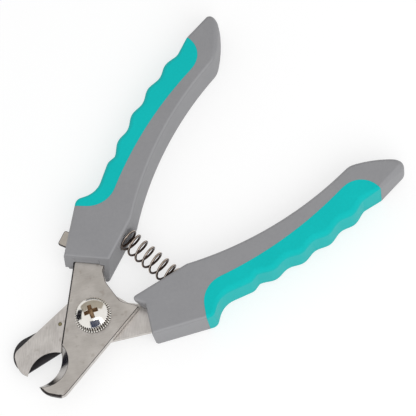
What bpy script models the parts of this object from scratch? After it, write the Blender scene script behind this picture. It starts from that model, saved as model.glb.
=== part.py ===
"""Plier-type pet nail clipper, open at rest and lying on its back.

Metres, +Z up. The pivot axis is x = y = 0, +X runs to the handles, +Y to the upper handle,
and z = 0 is the plane that the handles lie on. Both halves are the same parts, one turned
over about the X axis, so every blade, handle and grip is drawn once, for the upper half.
"""

import math

import bmesh
import bpy
from mathutils import Matrix

for leftover in list(bpy.data.objects):
    bpy.data.objects.remove(leftover, do_unlink=True)

# Fits
SEAT_GAP = 0.0003  # between pieces that lie on each other
PIN_GAP = 0.0003  # between a pin and its hole, on the radius
ROUND_STEP = math.radians(15)  # one facet of a rounded corner
ARC_STEPS = 12  # facets of a boss or a round end
SMALL_STEPS = 16  # facets round a pin
SHARP = math.radians(25)  # edges that bend more than this stay sharp

# Blades: one stamping, the jaw below the axis and the tang above it
BLADE_T = 0.0025
JAW_REACH = 0.0325  # pivot to jaw tip
JAW_TIP_DROP = 0.0031  # tool axis to jaw tip
JAW_BACK_DROP = 0.0133  # tool axis to the back of the jaw
JAW_END_LEAN = 0.00275  # how far the back corner of the jaw's end falls back from its tip
JAW_BEND_LEAN = 0.0005  # where the swell of the jaw's end runs out
JAW_BEND_DROP = 0.0094
JAW_SWELL = 0.0007
JAW_STEPS = 6
JAW_CORNER_R = 0.0034
MOUTH_START = 0.0177  # pivot to the root of the cutting edge
MOUTH_DEPTH = 0.0034  # hollow of the cutting edge below its chord
BEVEL_ROOT = 0.0023  # bevel width at the root of the edge
BEVEL_TIP = 0.0010  # bevel width at the jaw tip
BEVEL_DEPTH = 0.0062  # hollow of the bevel's upper rim below its chord
EDGE_LAND = 0.0003  # height of the ground edge itself
MOUTH_STEPS = 14
HEEL_X = 0.0138  # corner behind the pivot
HEEL_Y = -0.0105
HOLLOW_X = 0.0105  # bend between the heel and the neck
HOLLOW_Y = -0.0040
HOLLOW_R = 0.0045
NECK_X = 0.0124  # where the plate passes under the handle's nose
NECK_Y = 0.0055
SHOULDER_X = 0.0092  # where the plate passes under the handle's outer cheek
SHOULDER_Y = 0.0195
BLADE_CORNER_R = 0.0008

# Tang, inside the handle
TANG_ANGLE = math.radians(25)
TANG_X = 0.013  # start of its middle line
TANG_Y = 0.0135
TANG_LENGTH = 0.031
TANG_W = 0.009
TANG_END_W = 0.007
TANG_SHOULDER = 0.002
POST_R = 0.0013  # plastic that fills the tang's holes
POST_BEHIND = (0.012, 0.0045)  # from each post to the tang's end
POST_ALONG = [TANG_LENGTH - behind for behind in POST_BEHIND]

# Pivot hardware, stacked on the blades
SCREW_R = 0.0025
HEAD_R = 0.0065
HEAD_RIM = 0.0020
HEAD_DOME = 0.0019
HEAD_LEDGE = 0.0005  # from the knurling's root to the dome
DOME_STEPS = 6
KNURLS = 44
KNURL_DEPTH = 0.0004
CROSS_W = 0.0015
CROSS_LENGTH = 0.0058
CROSS_DEPTH = 0.0022
CROSS_TURN = math.radians(-28)
HEAD_WASHER_R = 0.0069
HEAD_WASHER_T = 0.0004
NUT_FLATS = 0.008
NUT_T = 0.00225
NUT_WASHER_R = 0.0046
NUT_WASHER_T = 0.0004

# Guard
GUARD_T = 0.0008
GUARD_BOSS_R = 0.0065
GUARD_END_R = 0.0073
GUARD_ANGLE = math.radians(161.2)
GUARD_REACH = (JAW_REACH - GUARD_END_R) / -math.cos(GUARD_ANGLE)  # its end is level with the jaw tip
GUARD_EDGE = 0.0051  # middle of the round end to the straight edge across the mouth
GUARD_EDGE_LEAN = math.radians(4)  # how the straight edge draws in towards the boss
GUARD_BOSS_OPEN = math.radians(55)  # stretch of the boss that the straight edge cuts off
GUARD_SWING = math.radians(26)
GUARD_PIN_R = 0.0007
GUARD_PIN_REACH = 0.0130  # pivot to pin
GUARD_PIN_ANGLE = math.radians(141.5)
GUARD_PIN_HEAD_R = 0.0016
GUARD_PIN_HEAD_T = 0.0007

# Handles
HANDLE_EDGE_R = 0.0012
EDGE_STEPS = 4  # facets of a rounded edge
NOSE = (0.01275, 0.00715, 0.00125)
KNEE = (0.0366, 0.0140)
INNER_END = (0.1040, 0.0343, 0.008)  # where the palm's hollow ends and the tip begins
INNER_HOLLOW = 0.0046
INNER_STEPS = 12
CHEEK_CORNER = (0.0070, 0.0220)
WINDOW_END = (0.01456, 0.01113, 0.0010)
SLOPE_BACK = 0.0028  # front edge of the face above the tang, behind the line from cheek to window
SLOPE_AHEAD = 0.0023  # foot of that slope at the opposite face, ahead of the line
STEP_BACK = 0.0018  # front wall below the tang, behind the line

# Finger scallops on the outer edge, from the tip end to the base
SCALLOP_BEHIND = 0.0064  # first scallop behind the end of the palm's hollow
SCALLOP_ACROSS = 0.0131  # handle's width there
SCALLOP_FIRST = (INNER_END[0] - SCALLOP_BEHIND, INNER_END[1] + SCALLOP_ACROSS)
SCALLOP_LAST = (0.0505, 0.0367)
SCALLOP_BOW = 0.0018
SCALLOP_PITCH = 0.01207
SCALLOP_RUN = math.dist(SCALLOP_FIRST, SCALLOP_LAST)
SCALLOPS = int(SCALLOP_RUN / SCALLOP_PITCH)
SCALLOP_RISE = 0.00135
SCALLOP_STEPS = 8
RISE_AHEAD = 0.0033  # from the last scallop to the rise of the hollow beside the base
RISE_OUT = 0.0004
RISE_R = 0.004
HOLLOW_RISE = (SCALLOP_LAST[0] - RISE_AHEAD, SCALLOP_LAST[1] + RISE_OUT, RISE_R)
HOLLOW = (0.0354, 0.0318, 0.009)
BASE_BUMP = (0.0283, 0.0356, 0.003)

# Handle tip, past the first scallop
BACK_RUN = 0.0074
BACK_RISE = 0.0019
BACK_R = 0.008
TIP_RUN = 0.0144
TIP_RISE = 0.0010
TIP_HIGH_R = 0.0024
TIP_LOW_R = 0.0050
TIP_EDGE_R = 0.0022  # edge rounding at the very tip
TIP_BEVEL = 0.0012
TIP_BULGE = 0.0010
TIP_STEPS = 6
TIP_DEPTH = 0.0048
BACK_END = (SCALLOP_FIRST[0] + BACK_RUN, SCALLOP_FIRST[1] + BACK_RISE, BACK_R)
TIP_HIGH = (BACK_END[0] + TIP_RUN, BACK_END[1] + TIP_RISE, TIP_HIGH_R)
TIP_LOW = (TIP_HIGH[0] - TIP_BEVEL, TIP_HIGH[1] - TIP_DEPTH, TIP_LOW_R)

# Grip: soft overlay round the outer edge
GRIP_T = 0.0016
CORE_EDGE_R = 0.0004  # edge rounding of the plastic under the grip
GRIP_START = (0.0220, 0.0390)
GRIP_ROUND = (0.0338, 0.0240, 0.0105)
GRIP_LEAD = 0.0092  # from that corner to the bowed edge, along the tool and across it
GRIP_LEAD_RISE = 0.00385
GRIP_LOW = (GRIP_ROUND[0] + GRIP_LEAD, GRIP_ROUND[1] + GRIP_LEAD_RISE)
GRIP_BEHIND = 0.0094  # end of the grip's edge behind the end of the palm's hollow
GRIP_ACROSS = 0.0040  # bare plastic beside the grip there
GRIP_HIGH = (INNER_END[0] - GRIP_BEHIND, INNER_END[1] + GRIP_ACROSS)
GRIP_BOW = 0.00236
GRIP_CORNER_RISE = 0.0007
GRIP_CORNER = (BACK_END[0], GRIP_HIGH[1] + GRIP_CORNER_RISE, 0.009)
GRIP_BEYOND = 0.058  # outline height that clears the outer edge
GRIP_MARGIN = 0.003  # how far the recess under the grip runs past it, before it is trimmed

# Return spring
SPRING_AT = 0.0305  # pivot to the spring's middle
SPRING_OD = 0.0088
WIRE_D = 0.0009
SPRING_SEAT = 0.0012  # depth of its seat in each handle
SPRING_ACTIVE = 6
SPRING_CLOSED = 1.25  # coils laid close at each end
SPRING_CLOSED_PITCH = 0.0014
SPRING_TURN = math.radians(180)  # where the wire ends, from the top of the coil
CURL_POINTS = 9

# Lock lever, in a slot under the upper handle's tang
LEVER_T = 0.0015
LEVER_GAP = 0.0004  # tang to lever
LOCK_ALONG = 0.0072  # along the tang to the lever's pin
LOCK_PIN_R = 0.00125
LOCK_PIN_SEAT = 0.0016  # pin length held in the plastic at each end
LOCK_WASHER_R = 0.0030
LOCK_WASHER_T = 0.0004
LEVER_BOSS_R = 0.0032
HOOK_REACH = 0.0103
HOOK_W = 0.0034
HOOK_ANGLE = math.radians(165)
TAB_REACH = 0.0162
TAB_W = 0.0060
TAB_ANGLE = math.radians(107)
ARM_CORNER_R = 0.0008
CROTCH_R = 0.0008
LEVER_SWING = math.radians(34)
LEVER_CLEAR = 0.0008  # slot past the lever's sweep

# Heights from the plane between the blades, which is the middle of the handles
BLADE_LOW = SEAT_GAP / 2
BLADE_HIGH = BLADE_LOW + BLADE_T
HEAD_WASHER_LOW = BLADE_HIGH + SEAT_GAP
HEAD_LOW = HEAD_WASHER_LOW + HEAD_WASHER_T + SEAT_GAP
RIM_HIGH = HEAD_LOW + HEAD_RIM
GUARD_HIGH = -BLADE_HIGH - SEAT_GAP
GUARD_LOW = GUARD_HIGH - GUARD_T
NUT_WASHER_HIGH = GUARD_LOW - SEAT_GAP
NUT_HIGH = NUT_WASHER_HIGH - NUT_WASHER_T - SEAT_GAP
NUT_LOW = NUT_HIGH - NUT_T
HANDLE_HALF = -NUT_LOW  # the nut lies flush with the handles' backs
LEVER_HIGH = BLADE_LOW - LEVER_GAP
LEVER_LOW = LEVER_HIGH - LEVER_T
LOCK_WASHER_HIGH = LEVER_LOW - SEAT_GAP
LOCK_FLOOR = LOCK_WASHER_HIGH - LOCK_WASHER_T - SEAT_GAP
HOLE_R = SCREW_R + PIN_GAP
LOCK_HOLE_R = LOCK_PIN_R + PIN_GAP
GUARD_HOLE_R = GUARD_PIN_R + PIN_GAP


def turn(length, angle):
    return (length * math.cos(angle), length * math.sin(angle))


def along_tang(distance, side=0.0):
    """A point along the tang's middle line, and to its inner side."""
    cos, sin = math.cos(TANG_ANGLE), math.sin(TANG_ANGLE)
    return (TANG_X + distance * cos + side * sin, TANG_Y + distance * sin - side * cos)


LOCK_AT = along_tang(LOCK_ALONG)
GUARD_PIN_AT = turn(GUARD_PIN_REACH, GUARD_PIN_ANGLE)


# Outlines, as lists of (x, y), counterclockwise

def circle(radius, centre=(0.0, 0.0), steps=32):
    angles = [2 * math.pi * i / steps for i in range(steps)]
    return [(centre[0] + radius * math.cos(a), centre[1] + radius * math.sin(a)) for a in angles]


def arc(centre, radius, start, end, steps):
    angles = [start + (end - start) * i / steps for i in range(steps + 1)]
    return [(centre[0] + radius * math.cos(a), centre[1] + radius * math.sin(a)) for a in angles]


def bowed(start, end, rise, steps):
    """A round stretch from start to end that rises to the left of the straight line."""
    chord = math.dist(start, end)
    radius = (chord * chord / 4 + rise * rise) / (2 * abs(rise))
    side = math.copysign(1.0, rise)
    left = ((start[1] - end[1]) / chord, (end[0] - start[0]) / chord)
    middle = ((start[0] + end[0]) / 2, (start[1] + end[1]) / 2)
    back = rise - side * radius
    centre = (middle[0] + left[0] * back, middle[1] + left[1] * back)
    first = math.atan2(start[1] - centre[1], start[0] - centre[0])
    sweep = 2 * math.asin(min(1.0, chord / (2 * radius)))
    return arc(centre, radius, first, first - side * sweep, steps)


def rounded(corners):
    """A closed outline through corners given as (x, y) or (x, y, radius)."""
    points = []
    for i, corner in enumerate(corners):
        here = corner[:2]
        radius = corner[2] if len(corner) > 2 else 0.0
        before = corners[i - 1][:2]
        after = corners[(i + 1) % len(corners)][:2]
        into = math.atan2(here[1] - before[1], here[0] - before[0])
        out = math.atan2(after[1] - here[1], after[0] - here[0])
        bend = (out - into + math.pi) % (2 * math.pi) - math.pi
        if radius == 0.0 or abs(bend) < ROUND_STEP / 4:
            points.append(here)
            continue
        tangent = radius * math.tan(abs(bend) / 2)
        side = math.copysign(math.pi / 2, bend)
        begin = (here[0] - tangent * math.cos(into), here[1] - tangent * math.sin(into))
        centre = (begin[0] + radius * math.cos(into + side), begin[1] + radius * math.sin(into + side))
        steps = max(2, round(abs(bend) / ROUND_STEP))
        points += arc(centre, radius, into - side, into - side + bend, steps)
    return points


def grown(points, distance):
    """The outline moved outwards, or inwards where the distance is negative; one value, or one a point."""
    moved = []
    distances = distance if isinstance(distance, list) else [distance] * len(points)
    for i, ((x, y), distance) in enumerate(zip(points, distances)):
        (ax, ay), (bx, by) = points[i - 1], points[(i + 1) % len(points)]
        into = (x - ax, y - ay)
        out = (bx - x, by - y)
        a, b = math.hypot(*into), math.hypot(*out)
        normal = (into[1] / a + out[1] / b, -into[0] / a - out[0] / b)
        size = normal[0] ** 2 + normal[1] ** 2
        moved.append((x + 2 * distance * normal[0] / size, y + 2 * distance * normal[1] / size))
    return moved


def inside(point, outline):
    """Whether a point lies inside a closed outline."""
    crossings = 0
    for (ax, ay), (bx, by) in zip(outline, outline[1:] + outline[:1]):
        if (ay > point[1]) != (by > point[1]):
            crossings += point[0] < ax + (bx - ax) * (point[1] - ay) / (by - ay)
    return crossings % 2 == 1


def tang_corners():
    half, end_half = TANG_W / 2, TANG_END_W / 2
    return [
        (NECK_X, NECK_Y, BLADE_CORNER_R),
        along_tang(0.0, half) + (BLADE_CORNER_R,),
        along_tang(TANG_LENGTH, end_half) + (end_half / 2,),
        along_tang(TANG_LENGTH, -end_half) + (end_half / 2,),
        along_tang(TANG_SHOULDER, -half) + (BLADE_CORNER_R,),
        (SHOULDER_X, SHOULDER_Y),
    ]


def blade_outline(beveled):
    """The blade's plan: its cutting edge, or the upper rim of its bevel."""
    root = (-MOUTH_START, 0.0)
    tip_drop, depth = JAW_TIP_DROP, MOUTH_DEPTH
    if beveled:
        slope = math.atan2(SHOULDER_Y, SHOULDER_X + MOUTH_START)
        root = (root[0] + BEVEL_ROOT * math.cos(slope), BEVEL_ROOT * math.sin(slope))
        tip_drop, depth = JAW_TIP_DROP + BEVEL_TIP, BEVEL_DEPTH
    tip = (-JAW_REACH, -tip_drop)
    mouth = bowed(root, tip, depth, MOUTH_STEPS)
    end = bowed(tip, (JAW_BEND_LEAN - JAW_REACH, -JAW_BEND_DROP), -JAW_SWELL, JAW_STEPS)[1:]
    corner = (JAW_END_LEAN - JAW_REACH, -JAW_BACK_DROP, JAW_CORNER_R)
    back = [(HEEL_X, HEEL_Y), (HOLLOW_X, HOLLOW_Y, HOLLOW_R)]
    return rounded(mouth + end + [corner] + back + tang_corners())


def handle_outline():
    inner = bowed(KNEE, INNER_END[:2], INNER_HOLLOW, INNER_STEPS)[:-1]
    tip = bowed(INNER_END[:2], TIP_LOW[:2], -TIP_BULGE, TIP_STEPS)[1:-1]
    count = SCALLOPS * SCALLOP_STEPS
    spine = bowed(SCALLOP_FIRST, SCALLOP_LAST, -SCALLOP_BOW, count)
    along_x, along_y = ((b - a) / SCALLOP_RUN for a, b in zip(SCALLOP_FIRST, SCALLOP_LAST))
    outward = (along_y, -along_x)
    scallops = []
    for i, (x, y) in enumerate(spine):
        passed = min(SCALLOP_RUN * i / count / SCALLOP_PITCH, SCALLOPS)
        rise = SCALLOP_RISE * (1 - math.cos(2 * math.pi * passed)) / 2
        scallops.append((x + rise * outward[0], y + rise * outward[1]))
    palm_side = inner + [INNER_END] + tip + [TIP_LOW, TIP_HIGH]
    finger_side = [BACK_END] + scallops + [HOLLOW_RISE, HOLLOW, BASE_BUMP]
    return rounded(palm_side + finger_side + [CHEEK_CORNER, WINDOW_END, NOSE])


def grip_outline():
    edge = bowed(GRIP_LOW, GRIP_HIGH, GRIP_BOW, INNER_STEPS)
    beyond = [(GRIP_CORNER[0], GRIP_BEYOND), (GRIP_START[0], GRIP_BEYOND)]
    return rounded([GRIP_START, GRIP_ROUND] + edge + [GRIP_CORNER] + beyond)


def guard_outline():
    middle = turn(GUARD_REACH, GUARD_ANGLE)
    lean = math.asin((GUARD_END_R - GUARD_BOSS_R) / GUARD_REACH)
    outer = GUARD_ANGLE - math.pi / 2 - lean
    flat = math.acos(GUARD_EDGE / GUARD_END_R)
    inner = GUARD_ANGLE + math.pi / 2 + GUARD_EDGE_LEAN
    boss_start = inner + GUARD_BOSS_OPEN - 2 * math.pi
    boss = arc((0.0, 0.0), GUARD_BOSS_R, boss_start, outer, ARC_STEPS)
    end = arc(middle, GUARD_END_R, outer, inner - flat, ARC_STEPS)
    return boss + end


def guard_slot():
    """The slot that the guard pin slides along as the guard swings out."""
    first, last = GUARD_PIN_ANGLE, GUARD_PIN_ANGLE + GUARD_SWING
    outer = arc((0.0, 0.0), GUARD_PIN_REACH + GUARD_HOLE_R, first, last, SMALL_STEPS // 2)
    far = arc(turn(GUARD_PIN_REACH, last), GUARD_HOLE_R, last, last + math.pi, SMALL_STEPS // 2)[1:-1]
    inner = arc((0.0, 0.0), GUARD_PIN_REACH - GUARD_HOLE_R, last, first, SMALL_STEPS // 2)
    start = turn(GUARD_PIN_REACH, first)
    near = arc(start, GUARD_HOLE_R, first + math.pi, first + 2 * math.pi, SMALL_STEPS // 2)[1:-1]
    return outer + far + inner + near


def edge_of(reach, width, angle, side):
    """Root on the boss and tip of one edge of a lever's arm, to the right for -1, to the left for 1."""
    tip, off = turn(reach, angle), turn(side * width / 2, angle + math.pi / 2)
    root = turn(LEVER_BOSS_R, angle + side * math.asin(width / 2 / LEVER_BOSS_R))
    return root, (tip[0] + off[0], tip[1] + off[1], ARM_CORNER_R)


def crotch(first, second):
    """Where one arm's left edge meets the next arm's right edge."""
    (ax, ay), (bx, by, _) = first
    (cx, cy), (dx, dy, _) = second
    cross = (bx - ax) * (dy - cy) - (by - ay) * (dx - cx)
    share = ((cx - ax) * (dy - cy) - (cy - ay) * (dx - cx)) / cross
    return (ax + share * (bx - ax), ay + share * (by - ay), CROTCH_R)


def lever_outline():
    """Boss, thumb tab and hook arm round the lever's pin."""
    tab_right = edge_of(TAB_REACH, TAB_W, TAB_ANGLE, -1)
    tab_left = edge_of(TAB_REACH, TAB_W, TAB_ANGLE, 1)
    hook_right = edge_of(HOOK_REACH, HOOK_W, HOOK_ANGLE, -1)
    hook_left = edge_of(HOOK_REACH, HOOK_W, HOOK_ANGLE, 1)
    last = HOOK_ANGLE + math.asin(HOOK_W / 2 / LEVER_BOSS_R)
    first = TAB_ANGLE - math.asin(TAB_W / 2 / LEVER_BOSS_R) + 2 * math.pi
    boss = arc((0.0, 0.0), LEVER_BOSS_R, last, first, ARC_STEPS)
    arms = [tab_right[1], tab_left[1], crotch(tab_left, hook_right), hook_right[1], hook_left[1]]
    return rounded(arms + boss)


# Solids

def welded(bm, turn_out=True):
    """Merges doubled points, turns the faces outwards where asked and returns the mesh."""
    bmesh.ops.remove_doubles(bm, verts=bm.verts, dist=1e-6)
    if turn_out:
        bmesh.ops.recalc_face_normals(bm, faces=bm.faces)
    mesh = bpy.data.meshes.new("solid")
    bm.to_mesh(mesh)
    bm.free()
    return mesh


def at_height(points, z):
    return [(x, y, z) for x, y in points]


def layered(rings):
    """A solid through rings of equally many points, from the bottom up."""
    bm = bmesh.new()
    levels = [[bm.verts.new(point) for point in ring] for ring in rings]
    bm.faces.new(levels[0][::-1])
    bm.faces.new(levels[-1])
    for low, high in zip(levels, levels[1:]):
        for i in range(len(low)):
            bm.faces.new((low[i - 1], low[i], high[i], high[i - 1]))
    return welded(bm, turn_out=False)


def plate(outlines, low, high):
    """A flat plate between two heights, from an outline and the holes in it."""
    millimetres = 1000.0
    curve = bpy.data.curves.new("outline", "CURVE")
    curve.dimensions = "2D"
    curve.fill_mode = "BOTH"
    curve.extrude = (high - low) / 2 * millimetres
    for points in outlines:
        spline = curve.splines.new("POLY")
        spline.points.add(len(points) - 1)
        spline.use_cyclic_u = True
        for point, (x, y) in zip(spline.points, points):
            point.co = (x * millimetres, y * millimetres, 0.0, 1.0)
    guide = bpy.data.objects.new("outline", curve)
    flat = bpy.data.meshes.new_from_object(guide)
    bpy.data.objects.remove(guide)
    bm = bmesh.new()
    bm.from_mesh(flat)
    bmesh.ops.scale(bm, vec=(1 / millimetres,) * 3, verts=bm.verts)
    bmesh.ops.translate(bm, vec=(0.0, 0.0, (low + high) / 2), verts=bm.verts)
    return welded(bm)


def handle_solid(inset=0.0, edge_r=HANDLE_EDGE_R):
    """The handle's full shape with rounded edges, or that shape set in where the grip lies."""
    outline = handle_outline()
    near_grip = grown(grip_outline(), GRIP_MARGIN)
    set_in = grown(outline, -inset)
    outline = [b if inside(a, near_grip) else a for a, b in zip(outline, set_in)]
    half = HANDLE_HALF - inset
    shares = [min(max((x - BACK_END[0]) / TIP_RUN, 0.0), 1.0) for x, _ in outline]
    radii = [edge_r + (TIP_EDGE_R - edge_r) * share for share in shares]
    levels = []
    for i in range(EDGE_STEPS + 1):
        angle = math.pi / 2 * i / EDGE_STEPS
        ring = grown(outline, [radius * (math.sin(angle) - 1) for radius in radii])
        drops = [radius * (1 - math.cos(angle)) for radius in radii]
        levels.append([(x, y, half - drop) for (x, y), drop in zip(ring, drops)])
    return layered([[(x, y, -z) for x, y, z in level] for level in levels] + levels[::-1])


def placed(name, mesh, finish, parent, turned_over=False):
    """A named piece with its material, on the empty that carries it."""
    mesh.shade_smooth()
    mesh.set_sharp_from_angle(angle=SHARP)
    piece = bpy.data.objects.new(name, mesh)
    bpy.context.collection.objects.link(piece)
    piece.parent = parent
    if turned_over:
        piece.rotation_euler = (math.pi, 0.0, 0.0)
    if finish:
        mesh.materials.append(finish)
    return piece


def cutter(mesh, like):
    """A hidden shape in the frame of the piece that it cuts."""
    shape = placed("cut", mesh, None, like.parent)
    shape.rotation_euler = like.rotation_euler
    shape.location = like.location
    shape.hide_render = True
    shape.display_type = "WIRE"
    return shape


def combined(piece, operation, other):
    modifier = piece.modifiers.new(operation.lower(), "BOOLEAN")
    modifier.operation = operation
    modifier.solver = "EXACT"
    modifier.object = other
    return other


def cut(piece, mesh):
    return combined(piece, "DIFFERENCE", cutter(mesh, piece))


def material(name, colour, roughness, metallic):
    made = bpy.data.materials.new(name)
    made.use_nodes = True
    shader = made.node_tree.nodes["Principled BSDF"]
    shader.inputs["Base Color"].default_value = (*colour, 1.0)
    shader.inputs["Roughness"].default_value = roughness
    shader.inputs["Metallic"].default_value = metallic
    return made


def empty(name, location, parent=None):
    point = bpy.data.objects.new(name, None)
    bpy.context.collection.objects.link(point)
    point.location = location
    point.parent = parent
    return point


FRONT_STEEL = material("front_blade_steel", (0.42, 0.39, 0.36), 0.35, 1.0)
REAR_STEEL = material("rear_blade_steel", (0.50, 0.49, 0.47), 0.32, 1.0)
GREY_PLASTIC = material("handle_plastic", (0.28, 0.28, 0.29), 0.55, 0.0)
TEAL_RUBBER = material("grip_rubber", (0.003, 0.46, 0.44), 0.6, 0.0)
CHROME = material("screw_chrome", (0.80, 0.78, 0.74), 0.08, 1.0)
PLATED = material("plated_steel", (0.55, 0.54, 0.52), 0.3, 1.0)
GUARD_BLACK = material("guard_black", (0.035, 0.034, 0.04), 0.4, 0.6)
SPRING_STEEL = material("spring_steel", (0.18, 0.14, 0.12), 0.3, 1.0)
LEVER_STEEL = material("lever_steel", (0.36, 0.33, 0.29), 0.38, 1.0)
PIN_STEEL = material("pin_steel", (0.22, 0.20, 0.13), 0.4, 1.0)

upper_half = empty("upper_half", (0.0, 0.0, HANDLE_HALF))
lower_half = empty("lower_half", (0.0, 0.0, HANDLE_HALF))
guard_axis = empty("guard_axis", (0.0, 0.0, 0.0), lower_half)
lock_axis = empty("lock_axis", (*LOCK_AT, 0.0), upper_half)


# Blades

def blade(name, finish, parent, turned_over, extra_holes):
    edge, rim = blade_outline(False), blade_outline(True)
    heights = (BLADE_LOW, BLADE_LOW + EDGE_LAND, BLADE_HIGH)
    rings = [at_height(points, z) for points, z in zip((edge, edge, rim), heights)]
    piece = placed(name, layered(rings), finish, parent, turned_over)
    holes = [circle(HOLE_R)] + extra_holes
    holes += [circle(POST_R + PIN_GAP, along_tang(distance), SMALL_STEPS) for distance in POST_ALONG]
    for hole in holes:
        cut(piece, plate([hole], BLADE_LOW - BLADE_T, BLADE_HIGH + BLADE_T))


blade("front_blade", FRONT_STEEL, upper_half, False, [circle(LOCK_HOLE_R, LOCK_AT, SMALL_STEPS)])
pin_below = (GUARD_PIN_AT[0], -GUARD_PIN_AT[1])
blade("rear_blade", REAR_STEEL, lower_half, True, [circle(GUARD_HOLE_R, pin_below, SMALL_STEPS)])


# Handles and grips

def tang_slot():
    """Room for the tang, with the posts that fill its holes left standing."""
    room = rounded(tang_corners() + [(-MOUTH_START, 0.0)])
    posts = [circle(POST_R, along_tang(distance), SMALL_STEPS) for distance in POST_ALONG]
    return plate([grown(room, SEAT_GAP)] + posts, BLADE_LOW - SEAT_GAP, BLADE_HIGH + SEAT_GAP)


def front_point(side, behind):
    """A point beside the window's end, along the front line, and behind that line."""
    run = math.dist(WINDOW_END[:2], CHEEK_CORNER[:2])
    along = ((CHEEK_CORNER[0] - WINDOW_END[0]) / run, (CHEEK_CORNER[1] - WINDOW_END[1]) / run)
    x = WINDOW_END[0] + along[0] * side + along[1] * behind
    return (x, WINDOW_END[1] + along[1] * side - along[0] * behind)


def front_slope():
    """What the sloping front face leaves off, from the nose to the cheek."""
    width = 2 * math.dist(NOSE[:2], CHEEK_CORNER[:2])
    lean = (SLOPE_BACK + SLOPE_AHEAD) / 2
    middle = (SLOPE_BACK - SLOPE_AHEAD) / 2
    high = 2 * HANDLE_HALF
    profile = [(middle - 2 * lean, -high), (middle + 2 * lean, high), (-width, high), (-width, -high)]
    bm = bmesh.new()
    rings = []
    for side in (-width, width):
        rings.append([bm.verts.new((*front_point(side, behind), z)) for behind, z in profile])
        bm.faces.new(rings[-1])
    for i in range(len(profile)):
        bm.faces.new((rings[0][i - 1], rings[0][i], rings[1][i], rings[1][i - 1]))
    return welded(bm)


def front_step():
    """What the front wall below the tang leaves off, between the nose and the cheek."""
    width = 2 * math.dist(NOSE[:2], CHEEK_CORNER[:2])
    nose_wall = math.atan2(WINDOW_END[1] - NOSE[1], WINDOW_END[0] - NOSE[0])
    front_line = math.atan2(CHEEK_CORNER[1] - WINDOW_END[1], CHEEK_CORNER[0] - WINDOW_END[0])
    beside = STEP_BACK / math.tan(front_line - nose_wall)
    places = [(beside, STEP_BACK), (width, STEP_BACK), (width, -width), (0.0, -width), (0.0, 0.0)]
    return plate([[front_point(*place) for place in places]], -2 * HANDLE_HALF, 0.0)


def spring_floor():
    """Distance from the tool axis to the floor of a spring seat."""
    lean = (KNEE[1] - NOSE[1]) / (KNEE[0] - NOSE[0])
    return NOSE[1] + lean * (SPRING_AT - NOSE[0]) + SPRING_SEAT


def spring_seat():
    radius = SPRING_OD / 2 + SEAT_GAP
    bm = bmesh.new()
    bmesh.ops.create_cone(
        bm, cap_ends=True, segments=24, radius1=radius, radius2=radius, depth=spring_floor()
    )
    bmesh.ops.rotate(bm, matrix=Matrix.Rotation(math.pi / 2, 3, "X"), verts=bm.verts)
    bmesh.ops.translate(bm, vec=(SPRING_AT, spring_floor() / 2, 0.0), verts=bm.verts)
    return welded(bm)


def lever_slot():
    """Room for the lever's sweep, open at the front end and at the outer side."""
    reach = TAB_REACH + LEVER_CLEAR
    tab_edge = math.asin((TAB_W / 2 + LEVER_CLEAR) / reach)
    hook_edge = math.asin((HOOK_W / 2 + LEVER_CLEAR) / HOOK_REACH)
    sweep = arc(LOCK_AT, reach, TAB_ANGLE - tab_edge, HOOK_ANGLE + LEVER_SWING + hook_edge, SMALL_STEPS)
    boss = LEVER_BOSS_R + LEVER_CLEAR
    back_start, back_end = HOOK_ANGLE + LEVER_SWING + math.pi / 2, TAB_ANGLE + 1.5 * math.pi
    back = arc(LOCK_AT, boss, back_start, back_end, ARC_STEPS // 2)
    return plate([sweep + back], LOCK_FLOOR, BLADE_LOW)


def half_handle(side, parent, turned_over):
    core = placed(side + "_handle", handle_solid(), GREY_PLASTIC, parent, turned_over)
    grip = placed(side + "_grip", handle_solid(), TEAL_RUBBER, parent, turned_over)
    above = HANDLE_HALF * 2
    combined(grip, "INTERSECT", cutter(plate([grown(grip_outline(), -SEAT_GAP)], -above, above), grip))
    cut(grip, handle_solid(GRIP_T, CORE_EDGE_R))
    overlay = cut(core, plate([grip_outline()], -above, above))
    cut(overlay, handle_solid(GRIP_T + SEAT_GAP, CORE_EDGE_R))
    cut(core, tang_slot())
    cut(core, front_slope())
    cut(core, front_step())
    cut(core, spring_seat())
    return core


upper_handle = half_handle("upper", upper_half, False)
cut(upper_handle, lever_slot())
pin_bore = circle(LOCK_HOLE_R, LOCK_AT, SMALL_STEPS)
PIN_LOW = LOCK_FLOOR - LOCK_PIN_SEAT
PIN_HIGH = BLADE_HIGH + SEAT_GAP + LOCK_PIN_SEAT
cut(upper_handle, plate([pin_bore], PIN_LOW - SEAT_GAP, PIN_HIGH + SEAT_GAP))
half_handle("lower", lower_half, True)


# Pivot screw, washers and nut

def screw_mesh():
    steps = 2 * KNURLS
    root = HEAD_R - KNURL_DEPTH
    knurled = []
    for i in range(steps):
        knurled.append(turn(HEAD_R if i % 2 else root, 2 * math.pi * i / steps))
    dome_r = root - HEAD_LEDGE
    rings = [
        (circle(SCREW_R, steps=steps), NUT_LOW),
        (circle(SCREW_R, steps=steps), HEAD_LOW),
        (knurled, HEAD_LOW),
        (knurled, RIM_HIGH),
        (circle(dome_r, steps=steps), RIM_HIGH),
    ]
    ball_r = (dome_r ** 2 + HEAD_DOME ** 2) / (2 * HEAD_DOME)
    edge = math.asin(dome_r / ball_r)
    for i in range(1, DOME_STEPS):
        angle = edge * (1 - i / DOME_STEPS)
        ring = circle(ball_r * math.sin(angle), steps=steps)
        rings.append((ring, RIM_HIGH + HEAD_DOME - ball_r * (1 - math.cos(angle))))
    return layered([at_height(points, z) for points, z in rings])


def cross_slot(angle):
    half, arm = CROSS_W / 2, CROSS_LENGTH / 2
    corners = [(-arm, -half), (arm, -half), (arm, half), (-arm, half)]
    cos, sin = math.cos(angle), math.sin(angle)
    turned = [(x * cos - y * sin, x * sin + y * cos) for x, y in corners]
    top = RIM_HIGH + HEAD_DOME
    return plate([turned], top - CROSS_DEPTH, top + CROSS_DEPTH)


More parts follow.
